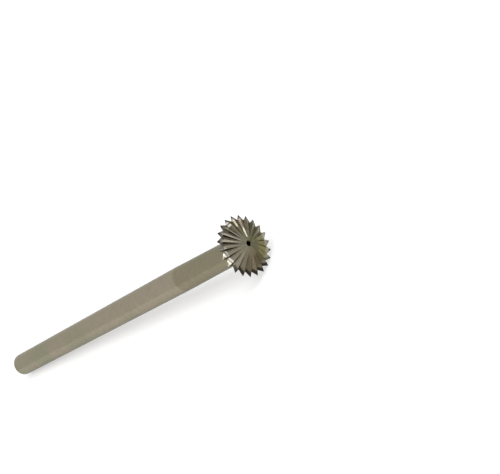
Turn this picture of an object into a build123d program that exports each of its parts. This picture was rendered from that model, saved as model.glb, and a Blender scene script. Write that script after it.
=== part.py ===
"""Knife edge bur: a small rotary cutter, head and shank turned from one steel rod.

The bur turns about +X. The flat end of the shank is at the origin and the nose is at the far end.
The head is a thin disc with a cone on each side, which meet in a sharp bevelled rim. Flutes are
milled across both cones, and rim notches join each front flute to the back one, which leaves the
pointed teeth. Sizes are in millimetres, and angles in degrees.
"""

import os
from math import cos, radians, sin, tan

from build123d import *

# Shank and neck
overall_length = 44.5
shank_diameter = 2.35
shank_length = 34.4
end_chamfer = 0.15
neck_diameter = 2.1
neck_fillet = 0.3

# Head
head_diameter = 5.25
nose_height = 0.65
bevel_angle = 30
bevel_width = 0.37
back_cone_angle = 18
hub_diameter = 0.84
centre_hole_diameter = 0.4
centre_hole_depth = 0.5
drill_point_angle = 118
hole_chamfer = 0.04

# Teeth
tooth_count = 22
notch_depth = 0.42
tooth_land = 0.03
rake_share = 0.27
front_flute_start = 1.0
front_start_share = 0.6
back_flute_start = 2.9
back_start_share = 0.4
flute_root_radius = 0.05
cutter_clearance = 0.2

# Places along the axis and radii that follow from the sizes above
shank_radius = shank_diameter / 2
neck_radius = neck_diameter / 2
head_radius = head_diameter / 2
hub_radius = hub_diameter / 2
hole_radius = centre_hole_diameter / 2
rim_x = overall_length - nose_height
bevel_radius = head_radius - bevel_width
bevel_height = bevel_width * tan(radians(bevel_angle))
valley_radius = head_radius - notch_depth
front_slope = (nose_height - bevel_height) / (bevel_radius - hub_radius)
back_slope = tan(radians(back_cone_angle))
back_height = bevel_height + (bevel_radius - neck_radius) * back_slope
drill_point_length = hole_radius / tan(radians(drill_point_angle / 2))
pitch_angle = 360 / tooth_count
land_share = tooth_land / (radians(pitch_angle) * head_radius)
cutter_outer_radius = head_radius + cutter_clearance
cutter_height = nose_height + cutter_clearance


def across_axis(radius, pitches):
    """A point in a plane across the bur's axis, drawn with that axis along Z.

    It is turned about the axis by a number of tooth pitches from a tooth's cutting edge.
    """
    turn = radians(pitches * pitch_angle)
    return Vector(radius * cos(turn), radius * sin(turn))


def head_point(radius, pitches, height):
    """A point of the head at a height above the rim's plane, with the bur's axis along Z."""
    return across_axis(radius, pitches) + Vector(0, 0, rim_x + height)


def milled_groove(inner_radius, bottom_point, flank, rake, keep):
    """What one pass of the milling cutter takes away between two teeth.

    The pass stays between the middles of the two teeth's lands and beyond both sides of the
    groove, which meet in a rounded root.
    """
    first_land = -land_share / 4
    last_land = 1 - land_share * 3 / 4
    with BuildPart() as groove:
        with BuildSketch(Plane.XY.offset(rim_x)):
            with BuildLine():
                Polyline(
                    across_axis(inner_radius, first_land),
                    across_axis(cutter_outer_radius, first_land),
                    across_axis(cutter_outer_radius, last_land),
                    across_axis(inner_radius, last_land),
                    close=True,
                )
            make_face()
        extrude(amount=cutter_height, both=True)
        split(bisect_by=flank, keep=keep)
        split(bisect_by=rake, keep=keep)
        fillet(groove.edges().sort_by_distance(bottom_point)[0], flute_root_radius)
    return groove.part


def flute(start_radius, start_share, start_height, side, keep):
    """One flute, from where it leaves the cone near the axis to its notch in the rim.

    The face groove deepens from the start to the valley. The notch carries it through the bevel
    to the tips of the two teeth beside it. side is 1 on the front cone and -1 on the back cone.
    """
    start = head_point(start_radius, start_share, side * start_height)
    valley = head_point(valley_radius, rake_share, 0)
    rake_shoulder = head_point(bevel_radius, 0, side * bevel_height)
    rake_tip = head_point(head_radius, 0, 0)
    flank_shoulder = head_point(bevel_radius, 1 - land_share, side * bevel_height)
    flank_tip = head_point(head_radius, 1 - land_share, 0)
    inner_radius = start_radius - cutter_clearance
    face_groove = milled_groove(
        inner_radius,
        valley,
        flank=Plane([start, valley, flank_shoulder]),
        rake=Plane([start, rake_shoulder, valley]),
        keep=keep,
    )
    rim_notch = milled_groove(
        inner_radius,
        valley,
        flank=Plane([valley, flank_tip, flank_shoulder]),
        rake=Plane([valley, rake_shoulder, rake_tip]),
        keep=keep,
    )
    with BuildPart() as cut:
        add(face_groove)
        add(rim_notch)
    return cut.part


# The flutes start on the surfaces of the two cones
front_start_radius = front_flute_start / 2
front_start_height = nose_height - (front_start_radius - hub_radius) * front_slope
front_flute = flute(front_start_radius, front_start_share, front_start_height, 1, Keep.TOP)

back_start_radius = back_flute_start / 2
back_start_height = bevel_height + (bevel_radius - back_start_radius) * back_slope
back_flute = flute(back_start_radius, back_start_share, back_start_height, -1, Keep.BOTTOM)

with BuildPart(Plane.YZ) as knife_edge_bur:
    # The turned blank
    with BuildSketch(Plane.XZ) as half_section:
        with BuildLine():
            Polyline(
                (0, 0),
                (0, shank_radius),
                (shank_length, shank_radius),
                (rim_x - back_height, neck_radius),
                (rim_x - bevel_height, bevel_radius),
                (rim_x, head_radius),
                (rim_x + bevel_height, bevel_radius),
                (overall_length, hub_radius),
                (overall_length, 0),
                close=True,
            )
        make_face()
        end_corner = half_section.vertices().sort_by_distance((0, shank_radius))[0]
        chamfer(end_corner, end_chamfer)
        neck_root = (rim_x - back_height, neck_radius)
        fillet(half_section.vertices().sort_by_distance(neck_root)[0], neck_fillet)
    revolve(axis=Axis.X)

    # The centre hole in the nose, left by the lathe's centre drill
    with BuildSketch(Plane.XZ) as hole_section:
        with BuildLine():
            Polyline(
                (overall_length, 0),
                (overall_length, hole_radius + hole_chamfer),
                (overall_length - hole_chamfer, hole_radius),
                (overall_length - centre_hole_depth, hole_radius),
                (overall_length - centre_hole_depth - drill_point_length, 0),
                close=True,
            )
        make_face()
    revolve(axis=Axis.X, mode=Mode.SUBTRACT)

    # The teeth, with two tips level at the bottom so that the bur lies still on them
    with PolarLocations(0, tooth_count, start_angle=-90 + pitch_angle / 2):
        add(front_flute, mode=Mode.SUBTRACT)
        add(back_flute, mode=Mode.SUBTRACT)

os.makedirs("parts", exist_ok=True)
knife_edge_bur.part.label = "knife_edge_bur"
export_step(knife_edge_bur.part, "parts/knife_edge_bur.step")
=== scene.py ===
"""Knife edge bur lying on a white surface: its steel finish, the studio light and the camera."""

from math import cos, pi, radians, sin

import bpy
from mathutils import Matrix, Vector


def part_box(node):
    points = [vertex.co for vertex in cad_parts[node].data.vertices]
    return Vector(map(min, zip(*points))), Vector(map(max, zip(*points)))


MM = 0.001

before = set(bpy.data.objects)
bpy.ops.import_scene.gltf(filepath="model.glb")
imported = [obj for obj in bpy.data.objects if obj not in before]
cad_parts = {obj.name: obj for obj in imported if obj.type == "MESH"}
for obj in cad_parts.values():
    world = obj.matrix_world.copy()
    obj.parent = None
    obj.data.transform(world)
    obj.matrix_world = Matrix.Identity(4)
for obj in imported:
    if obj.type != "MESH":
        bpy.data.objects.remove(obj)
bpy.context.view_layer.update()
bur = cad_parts["knife_edge_bur"]
bur_low, bur_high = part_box("knife_edge_bur")

# Sizes of the bur, in millimetres, with its length and its head's radius from the frame
overall_length = bur_high.x / MM
shank_radius = 1.175
shank_length = 34.4
end_chamfer = 0.15
nose_height = 0.65
head_radius = bur_high.y / MM
bevel_width = 0.37
notch_depth = 0.42
hole_radius = 0.2
rim_x = overall_length - nose_height
bevel_radius = head_radius - bevel_width
valley_radius = head_radius - notch_depth

# The teeth: a turn from a tooth is given in pitches, and a flute starts at a radius and a turn
tooth_count = 22
valley_share = 0.27
front_start = (0.5, 0.6)
back_start = (1.45, 0.4)

# The photograph's frame and its lens
photo_width = 500
photo_height = 474
focal_pixels = 1080
sensor_width = 36
rim_pixel = (244.26, 245.73)

# Where the camera stands, seen from the middle of the rim, in millimetres and degrees
camera_distance = 86.6
camera_azimuth = -33.5285
camera_elevation = 22.239
camera_roll = -57.949
nearest_seen = 1
furthest_seen = 5000

# Steel, what has settled on it, and the painted shade and painted highlights on its head
ground_steel = (0.375, 0.33, 0.243, 1)
warm_steel = (0.4, 0.335, 0.262, 1)
cool_steel = (0.335, 0.322, 0.225, 1)
neck_steel = (0.275, 0.245, 0.16, 1)
milled_steel = (0.268, 0.24, 0.182, 1)
hub_steel = (0.2, 0.19, 0.13, 1)
frosted_lit_steel = (0.53, 0.475, 0.37, 1)
olive_steel = (0.27, 0.248, 0.16, 1)
pale_steel = (0.42, 0.4, 0.31, 1)
brown_reflection_shade = (0.225, 0.182, 0.117, 1)
olive_tarnish_and_shade = (0.125, 0.118, 0.062, 1)
straw_tarnish = (0.25, 0.23, 0.085, 1)
# Dark brown for painted shade on the flanks by the roots of the flutes
root_shade = (0.07, 0.06, 0.03, 1)
# Brown for an oily patch, and for painted shadow in a few valleys
brown_oil_and_shade = (0.11, 0.085, 0.045, 1)
rosy_tarnish_and_shade = (0.1, 0.075, 0.062, 1)
# Near black, for grime and painted shade on the rakes and for painted shade in the centre hole
grime_and_shade_black = (0.014, 0.01, 0.004, 1)
purple_steel = (0.24, 0.21, 0.2, 1)
tip_grey_shade = (0.19, 0.18, 0.155, 1)
tip_black_and_shade = (0.016, 0.016, 0.011, 1)
worn_and_glinting_steel = (0.88, 0.85, 0.74, 1)

# The tint of what the steel reflects at a flat angle
flat_angle_steel = (0.72, 0.73, 0.69, 1)

# How deep the marks in the steel look, in millimetres, and how strongly they catch the light
mark_depth = 0.01
mark_strength = 0.2

# The paper that the bur lies on, its glow for the camera, and the share of that in the steel
floor_half_size = 1500
paper_dark = (0.49, 0.49, 0.485, 1)
paper_light = (0.51, 0.51, 0.51, 1)
fibres_in_a_metre = 900
paper_glow = 0.5
glow_in_steel = 0.64

# The light all round, and the soft boxes: azimuth, elevation, how far from its middle a box is full
# and where it ends, all in degrees, and its strength
room_light = 0.8
soft_boxes = (
    (-52, 58, 9, 20, 3.4),
    (10, 55, 9, 20, 3.4),
    (8, 76, 5, 11, 3.2),
)

# The room's darker side: where it lies, how far from its middle it is full and where it ends, all in
# degrees, and the share of the light that is left there
dark_azimuth = -52
dark_elevation = 5
dark_full = 15
dark_end = 45
light_left = 0.45


def feed(socket, value):
    """Join a socket to another one, or give it a plain value."""
    if isinstance(value, bpy.types.NodeSocket):
        socket.id_data.links.new(value, socket)
    else:
        socket.default_value = value


def new_node(kind, inputs, **settings):
    """A node with these settings and inputs, made in the tree of the first socket that feeds it."""
    feeders = [value for value in inputs.values() if isinstance(value, bpy.types.NodeSocket)]
    node = feeders[0].id_data.nodes.new(kind)
    for name, setting in settings.items():
        setattr(node, name, setting)
    for name, value in inputs.items():
        feed(node.inputs[name], value)
    return node


def sum_up(operation, *values):
    """One sum on sockets and numbers."""
    return new_node("ShaderNodeMath", dict(enumerate(values)), operation=operation).outputs[0]


def in_turn(operation, values):
    """The same sum on several values, one after another."""
    result = values[0]
    for value in values[1:]:
        result = sum_up(operation, result, value)
    return result


def add(*values):
    """Values added together."""
    return in_turn("ADD", values)


def times(*values):
    """Values or masks multiplied together."""
    return in_turn("MULTIPLY", values)


def largest(*values):
    """The largest of several values."""
    return in_turn("MAXIMUM", values)


def minus(value, other):
    """What is left of one value without another."""
    return sum_up("SUBTRACT", value, other)


def rise(value, start, end, low=0, high=1):
    """A smooth rise from low at start to high at end."""
    inputs = {"Value": value, "From Min": start, "From Max": end, "To Min": low, "To Max": high}
    return new_node("ShaderNodeMapRange", inputs, interpolation_type="SMOOTHSTEP").outputs[0]


def vector_of(x, y, z):
    """A vector from its three parts."""
    return new_node("ShaderNodeCombineXYZ", {0: x, 1: y, 2: z}).outputs[0]


def scaled(vector, factor):
    """A vector or a colour times a factor."""
    return new_node("ShaderNodeVectorMath", {0: vector, "Scale": factor}, operation="SCALE").outputs[0]


def facing(direction, other):
    """The cosine between two directions."""
    node = new_node("ShaderNodeVectorMath", {0: direction, 1: other}, operation="DOT_PRODUCT")
    return node.outputs["Value"]


def blend(mask, under, over):
    """The colour under, covered by the colour over where the mask is 1."""
    return new_node("ShaderNodeMix", {0: mask, 6: under, 7: over}, data_type="RGBA").outputs[2]


def blend_value(mask, under, over):
    """The value under, replaced by the value over where the mask is 1."""
    return new_node("ShaderNodeMix", {0: mask, 2: under, 3: over}, data_type="FLOAT").outputs[0]


def cover(colour, tint, *masks):
    """A colour, covered by a tint where every mask is 1."""
    return blend(times(*masks), colour, tint)


def noise(place, scale, detail, roughness):
    """Cloudy noise from 0 to 1, with so many clouds to a unit of the place."""
    inputs = {"Vector": place, "Scale": scale, "Detail": detail, "Roughness": roughness}
    return new_node("ShaderNodeTexNoise", inputs).outputs["Fac"]


def principled(name):
    """A new material with its Principled shader, ready for its nodes."""
    material = bpy.data.materials.new(name)
    material.use_nodes = True
    return material, material.node_tree.nodes["Principled BSDF"]


def line_between(first, second):
    """The slope and the offset of the line through two points."""
    slope = (second[1] - first[1]) / (second[0] - first[0])
    return slope, first[1] - slope * first[0]


def on_the_head(radius, share):
    """A point of the head: how far along the tooth's edge it lies, and how far beside it."""
    turn = share * 2 * pi / tooth_count
    return radius * cos(turn), radius * sin(turn)


class BurPlaces:
    """Where a point of the bur's surface lies, in millimetres and in masks from 0 to 1."""

    def __init__(self, tree):
        coordinate = tree.nodes.new("ShaderNodeTexCoord").outputs["Object"]
        self.place = scaled(coordinate, 1 / MM)
        self.x, y, z = new_node("ShaderNodeSeparateXYZ", {0: self.place}).outputs
        self.radius = sum_up("SQRT", add(times(y, y), times(z, z)))
        self.turn = sum_up("ARCTAN2", z, y)
        away = new_node("ShaderNodeVectorMath", {0: vector_of(0, y, z)}, operation="NORMALIZE")
        self.outward = away.outputs[0]
        self.on_back = rise(minus(self.x, rim_x), 0.01, -0.01)
        self.on_head = largest(minus(1, self.on_back), rise(self.radius, 1.2, 1.4))
        self.find_tooth()
        self.find_faces()
        self.find_tip()

    def around(self, centre, full, end):
        """A mask round the bur: 1 within full degrees of the centre angle, 0 beyond end degrees.

        Angles run from +Y to +Z. In the photograph 30 is at the top of the head, 120 on its left.
        """
        middle = (0, cos(radians(centre)), sin(radians(centre)))
        return rise(facing(self.outward, middle), cos(radians(end)), cos(radians(full)))

    def find_tooth(self):
        """The number of the tooth, and the place along and beside its edge and the next one's."""
        pitch = 2 * pi / tooth_count
        pitches = times(add(self.turn, pi / 2 - pitch / 2), 1 / pitch)
        share = sum_up("FRACT", pitches)
        self.tooth = sum_up("FLOOR", pitches)
        from_tooth = times(share, pitch)
        to_next = times(minus(1, share), pitch)
        self.along = times(self.radius, sum_up("COSINE", from_tooth))
        self.beside = times(self.radius, sum_up("SINE", from_tooth))
        self.next_along = times(self.radius, sum_up("COSINE", to_next))
        self.next_beside = times(self.radius, sum_up("SINE", to_next))

    def beside_line(self, end):
        """How far beside the tooth the line lies that runs from the flute's start to this end."""
        front, back = [
            sum_up("MULTIPLY_ADD", self.along, *line_between(on_the_head(*start), end))
            for start in (front_start, back_start)
        ]
        return blend_value(self.on_back, front, back)

    def find_faces(self):
        """The rake face, between the tooth's edge and the root of the flute, and the flank."""
        root_line = self.beside_line(on_the_head(valley_radius, valley_share))
        edge_line = self.beside_line((bevel_radius, 0))
        self.past_root = minus(self.beside, root_line)
        rake_width = largest(minus(root_line, edge_line), 0.01)
        self.across_rake = sum_up("DIVIDE", minus(self.beside, edge_line), rake_width)
        self.rake = times(rise(self.past_root, 0.01, -0.01), rise(self.across_rake, -0.12, 0.02))
        self.flank = minus(1, self.rake)

    def off_line(self, start, end):
        """How far a point lies off a line that is given along and beside the next tooth's edge."""
        run = (Vector(end) - Vector(start)).normalized()
        return minus(
            times(minus(self.next_along, start[0]), run.y),
            times(minus(self.next_beside, start[1]), run.x),
        )

    def find_tip(self):
        """How far inside the outline of its tooth a point lies, and how far off its bevel's edge."""
        next_valley = on_the_head(valley_radius, 1 - valley_share)
        self.inside = self.off_line(next_valley, (head_radius, 0))
        self.off_bevel = self.off_line(next_valley, (bevel_radius, 0))


def bare_steel(at):
    """The steel's own colour on the shank, the neck, the head and the hub."""
    patches = noise(at.place, 0.9, 3, 0.55)
    broad = noise(at.place, 0.22, 2, 0.5)
    on_neck = rise(at.x, shank_length - 0.1, shank_length + 0.35)
    colour = blend(rise(patches, 0.4, 0.62), ground_steel, warm_steel)
    colour = cover(colour, cool_steel, rise(broad, 0.48, 0.66))
    colour = cover(colour, neck_steel, on_neck, minus(1, at.on_head), 0.75)
    colour = cover(colour, milled_steel, at.on_head)
    return cover(colour, hub_steel, at.on_head, rise(at.radius, 1.1, 0.6), 0.75)


def tarnish_and_shade(at, colour, clouds):
    """Olive and brown darkening on two sides of the head as painted dark reflection, olive tarnish near
    the hub, straw tarnish, and a pale stretch of its rim.
    """
    # The olive and brown on two sides of the head are painted dark reflection
    olive = times(at.around(12, 22, 62), rise(clouds, 0.35, 0.6, 0.35, 0.9))
    brown = times(at.around(-136, 20, 46), rise(clouds, 0.3, 0.6, 0.55, 0.9))
    lower_olive = times(at.around(-55, 38, 60), rise(at.radius, 1.4, 1.0), 0.7)
    pale_ring = times(rise(at.radius, 1.8, 2.02), rise(at.radius, 2.42, 2.3))
    pale_rim = times(at.around(-50, 36, 58), pale_ring, 0.8)
    straw_ring = times(rise(at.radius, 0.8, 1.3), rise(at.radius, 2.1, 1.8))
    straw = times(straw_ring, at.around(-70, 22, 42), rise(clouds, 0.32, 0.58, 0.25, 0.9))
    spot_ring = times(rise(at.radius, 0.9, 1.2), rise(at.radius, 2.1, 1.8))
    brown_spot = times(at.around(-110, 8, 22), spot_ring, 0.7)
    for mask, tint in (
        (olive, olive_tarnish_and_shade),
        (brown, brown_reflection_shade),
        (lower_olive, olive_tarnish_and_shade),
        (pale_rim, pale_steel),
        (straw, straw_tarnish),
        (brown_spot, brown_oil_and_shade),
    ):
        colour = cover(colour, tint, at.on_head, mask)
    return colour


def rake_grime_and_shade(at):
    """Grime and painted shade on the rake faces, by their edge, or at the top by their root, and less of
    it in a few places.
    """
    by_edge = rise(at.across_rake, 0.8, 0.5, 0.3, 1)
    by_root = rise(at.across_rake, 0.35, 0.75, 0, 0.75)
    across = blend_value(at.around(46, 15, 30), by_edge, by_root)
    reach = times(rise(at.along, 0.6, 1.3, 0.25, 1), rise(at.along, 2.25, 2.14, 0.1, 1))
    grime_and_shade = times(at.on_head, at.rake, across, reach)
    for less_shaded in (
        times(at.around(2, 28, 42), 0.6),
        times(at.around(178, 24, 34), 0.75),
        times(at.around(84, 5, 9), rise(at.radius, 1.75, 1.9), 0.5),
        times(at.around(-40, 14, 24), rise(at.radius, 1.85, 1.95), 0.8),
    ):
        grime_and_shade = times(grime_and_shade, minus(1, less_shaded))
    return grime_and_shade


def glints_and_rubbed_edges(at):
    """A short painted glint near the rim, and the edges of a few teeth near the hub, worn bright and
    painted with highlights.
    """
    painted_glint = times(at.around(67.5, 2.5, 4.5), rise(at.radius, 1.93, 2.0), rise(at.radius, 2.16, 2.09))
    from_edge = sum_up("MINIMUM", at.beside, at.next_beside)
    by_hub = times(rise(at.radius, 1.5, 1.2), rise(at.radius, 0.5, 0.65))
    edge_glint = times(at.around(33, 7, 9), rise(from_edge, 0.075, 0.03), by_hub)
    return times(at.on_head, largest(painted_glint, edge_glint))


def worn_bevel_glints(at, clouds):
    """Steel worn bright and painted with highlights where the face of a tooth meets its tip."""
    bevel_line = rise(sum_up("ABSOLUTE", minus(at.off_bevel, 0.14)), 0.12, 0.05)
    tip_face = rise(at.off_bevel, -0.03, -0.09)
    places = largest(bevel_line, times(tip_face, 0.4))
    return times(at.on_head, at.flank, places, at.around(148, 14, 24), rise(clouds, 0.38, 0.5, 0.25, 1))


def tool_marks(at):
    """The marks round the shank and its end and along the flutes, and the relief they give."""
    across_marks = add(at.x, at.radius)
    round_marks = noise(vector_of(across_marks, times(at.turn, 0.12), 0), 7, 4, 0.7)
    fine_marks = noise(vector_of(across_marks, times(at.turn, 0.05), 3), 26, 3, 0.6)
    flute_marks = noise(vector_of(times(at.turn, 9), times(at.radius, 0.4), 0), 9, 3, 0.6)
    marks = blend_value(at.on_head, round_marks, flute_marks)
    relief = blend_value(at.on_head, add(marks, times(fine_marks, 0.5)), times(marks, 0.5))
    return marks, relief


def shade_of(at, marks):
    """A factor on the colour, from the marks, the specks and the tone of each tooth."""
    shank_marks = rise(marks, 0.3, 0.7, 0.93, 1.04)
    head_marks = rise(marks, 0.3, 0.7, 0.9, 1.08)
    tooth_tone = new_node("ShaderNodeTexWhiteNoise", {"W": at.tooth}, noise_dimensions="1D")
    head_teeth = rise(tooth_tone.outputs["Value"], 0, 1, 0.88, 1.1)
    specks = rise(noise(at.place, 9, 2, 0.7), 0.35, 0.75, 0.05, -0.12)
    mark_shade = blend_value(at.on_head, shank_marks, head_marks)
    tooth_shade = blend_value(at.on_head, 1, head_teeth)
    speck_shade = times(specks, rise(at.on_head, 0, 1, 0.5, 1))
    return times(add(mark_shade, speck_shade), tooth_shade)


def bur_steel():
    """Ground and milled steel with the tarnish, oil, grime and bright wear of a used bur, and painted
    shade and highlights on its head.
    """
    material, shader = principled("bur_steel")
    at = BurPlaces(material.node_tree)
    clouds = noise(at.place, 2.6, 3, 0.6)
    colour = tarnish_and_shade(at, bare_steel(at), clouds)

    # The flanks at the top and on the left are frosted and duller, and those on the left are painted
    # lighter as painted light
    frosted_and_lit = times(at.on_head, at.flank, at.around(55, 60, 82), rise(at.past_root, 0.02, 0.1))
    frost_and_light_colour = blend(at.around(104, 16, 29), olive_steel, frosted_lit_steel)
    colour = cover(colour, frost_and_light_colour, frosted_and_lit, rise(at.radius, 0.9, 1.6, 0.45, 0.9))

    # Painted shade near the roots of the flutes, grime and painted shade on the rake faces, and brown
    # painted shadow in a few valleys
    near_root_shade = times(at.flank, rise(at.past_root, 0.13, 0), rise(at.radius, 0.7, 1.5), 0.5)
    colour = cover(colour, root_shade, at.on_head, near_root_shade)
    grime_and_shade = rake_grime_and_shade(at)
    colour = cover(colour, grime_and_shade_black, grime_and_shade)
    valley_shade = times(rise(at.radius, 1.5, 1.95), rise(sum_up("ABSOLUTE", at.past_root), 0.2, 0.04))
    colour = cover(colour, brown_oil_and_shade, at.on_head, valley_shade, at.around(-14, 20, 34), 0.75)

    # At the top one rake is painted dark towards the hub as painted shade, and one has a rosy tint
    # painted dark towards the rim as painted shade
    dark_rake_shade = times(at.rake, at.around(52, 7, 9), rise(at.radius, 1.75, 1.5), 0.82)
    colour = cover(colour, grime_and_shade_black, at.on_head, dark_rake_shade)
    rosy_rake_shade = times(at.rake, at.around(36, 7, 9), rise(at.radius, 1.25, 1.45), 0.85)
    colour = cover(colour, rosy_tarnish_and_shade, at.on_head, rosy_rake_shade)
    # Painted highlights and bright wear on a few teeth at the top
    glints_and_rubbed = glints_and_rubbed_edges(at)
    colour = cover(colour, worn_and_glinting_steel, glints_and_rubbed)

    # Purple rakes by the rim, grey tips as painted shade, black tips that are dark partly as painted
    # shade, and bevels worn bright with painted highlights over them
    colour = cover(colour, purple_steel, at.rake, rise(at.along, 2.15, 2.22), at.around(70, 50, 75), 0.8)
    band = times(at.on_head, at.flank, rise(at.inside, 0.28, 0.15))
    colour = cover(colour, tip_grey_shade, band, at.around(110, 25, 50), 0.8)
    lower_tips = times(band, at.around(-141, 38, 64), 0.93)
    top_tips = times(band, at.around(25, 40, 65), 0.85)
    points = times(at.on_head, rise(at.radius, 2.3, 2.48), 0.85)
    dark_tips_and_shade = largest(lower_tips, top_tips, points)
    colour = cover(colour, tip_black_and_shade, dark_tips_and_shade)
    colour = cover(colour, worn_and_glinting_steel, worn_bevel_glints(at, clouds))

    # The centre hole and its chamfer are painted dark as painted shade
    below_nose = rise(at.x, overall_length - 0.025, overall_length - 0.05)
    hole_shade = times(at.on_head, rise(at.radius, hole_radius + 0.08, hole_radius + 0.02), below_nose)
    hole_rim_shade = times(at.on_head, rise(at.radius, hole_radius + 0.07, hole_radius + 0.04), 0.6)
    colour = cover(colour, grime_and_shade_black, largest(hole_shade, hole_rim_shade))

    marks, relief = tool_marks(at)
    feed(shader.inputs["Base Color"], scaled(colour, shade_of(at, marks)))
    dull = times(largest(grime_and_shade, dark_tips_and_shade, hole_shade), 0.3)
    feed(shader.inputs["Roughness"], add(rise(marks, 0.3, 0.7, 0.3, 0.2), times(at.on_head, -0.05), dull))
    feed(shader.inputs["Metallic"], rise(largest(dark_tips_and_shade, frosted_and_lit, glints_and_rubbed), 0, 1, 1, 0.6))
    shader.inputs["Specular Tint"].default_value = flat_angle_steel
    bump = new_node("ShaderNodeBump", {"Height": relief})
    bump.inputs["Strength"].default_value = mark_strength
    bump.inputs["Distance"].default_value = mark_depth * MM
    feed(shader.inputs["Normal"], bump.outputs["Normal"])
    return material


def white_paper():
    """Paper that the camera and the steel see as white, with the bur's soft shadow on it."""
    material, shader = principled("white_paper")
    tree = material.node_tree
    coordinate = tree.nodes.new("ShaderNodeTexCoord").outputs["Object"]
    fibres = noise(coordinate, fibres_in_a_metre, 4, 0.6)
    rays = tree.nodes.new("ShaderNodeLightPath").outputs
    seen = sum_up("MULTIPLY_ADD", rays["Is Glossy Ray"], glow_in_steel, rays["Is Camera Ray"])
    feed(shader.inputs["Base Color"], blend(rise(fibres, 0.3, 0.7), paper_dark, paper_light))
    feed(shader.inputs["Emission Strength"], times(seen, paper_glow))
    shader.inputs["Emission Color"].default_value = (1, 1, 1, 1)
    shader.inputs["Roughness"].default_value = 0.9
    shader.inputs["Specular IOR Level"].default_value = 0.1
    return material


def white_floor():
    """A plane that touches the lowest tooth tips and the lower edge of the shank's end."""
    tip_point = Vector((rim_x * MM, 0, bur_low.z))
    end_point = Vector((end_chamfer * MM, 0, -shank_radius * MM))
    half_along = (tip_point - end_point).normalized() * floor_half_size * MM
    half_across = Vector((0, 1, 0)) * floor_half_size * MM
    corners = [
        end_point - half_along - half_across,
        end_point + half_along - half_across,
        end_point + half_along + half_across,
        end_point - half_along + half_across,
    ]
    mesh = bpy.data.meshes.new("white_floor")
    mesh.from_pydata(corners, [], [(0, 1, 2, 3)])
    mesh.materials.append(white_paper())
    floor = bpy.data.objects.new("white_floor", mesh)
    bpy.context.scene.collection.objects.link(floor)


def towards(azimuth, elevation):
    """The direction from the bur to a place given in degrees."""
    flat = cos(radians(elevation))
    return Vector((cos(radians(azimuth)) * flat, sin(radians(azimuth)) * flat, sin(radians(elevation))))


def photograph_camera():
    """The camera that puts the rim, the nose and the shank where the photograph has them."""
    data = bpy.data.cameras.new("camera")
    data.sensor_width = sensor_width
    data.lens = focal_pixels * sensor_width / photo_width
    data.clip_start = nearest_seen * MM
    data.clip_end = furthest_seen * MM
    camera = bpy.data.objects.new("camera", data)
    bpy.context.scene.collection.objects.link(camera)
    bpy.context.scene.camera = camera

    away = towards(camera_azimuth, camera_elevation)
    level = (-away).to_track_quat("-Z", "Y").to_matrix()
    rolled = level @ Matrix.Rotation(radians(camera_roll), 3, "Z")
    rim_right = (rim_pixel[0] - photo_width / 2) / focal_pixels
    rim_up = (photo_height / 2 - rim_pixel[1]) / focal_pixels
    rim_ray = Vector((rim_right, rim_up, -1))
    off_centre = rim_ray.rotation_difference(Vector((0, 0, -1))).to_matrix()
    turned = (rolled @ off_centre).to_4x4()
    rim_centre = Vector((rim_x * MM, 0, 0))
    camera.matrix_world = Matrix.Translation(rim_centre + away * camera_distance * MM) @ turned


def studio_world():
    """Plain white light with soft boxes overhead, and a darker side of the room."""
    world = bpy.data.worlds.new("studio")
    bpy.context.scene.world = world
    world.use_nodes = True
    tree = world.node_tree
    direction = tree.nodes.new("ShaderNodeTexCoord").outputs["Generated"]
    light = room_light
    for azimuth, elevation, full, end, strength in soft_boxes:
        to_box = facing(direction, towards(azimuth, elevation))
        light = add(light, rise(to_box, cos(radians(end)), cos(radians(full)), 0, strength))
    to_dark = facing(direction, towards(dark_azimuth, dark_elevation))
    light = times(light, rise(to_dark, cos(radians(dark_end)), cos(radians(dark_full)), 1, light_left))
    seen_as_white = tree.nodes.new("ShaderNodeLightPath").outputs["Is Camera Ray"]
    background = tree.nodes["Background"]
    background.inputs["Color"].default_value = (1, 1, 1, 1)
    feed(background.inputs["Strength"], largest(light, seen_as_white))


bpy.context.scene.view_settings.view_transform = "Standard"
bur.data.materials.clear()
bur.data.materials.append(bur_steel())
white_floor()
studio_world()
photograph_camera()
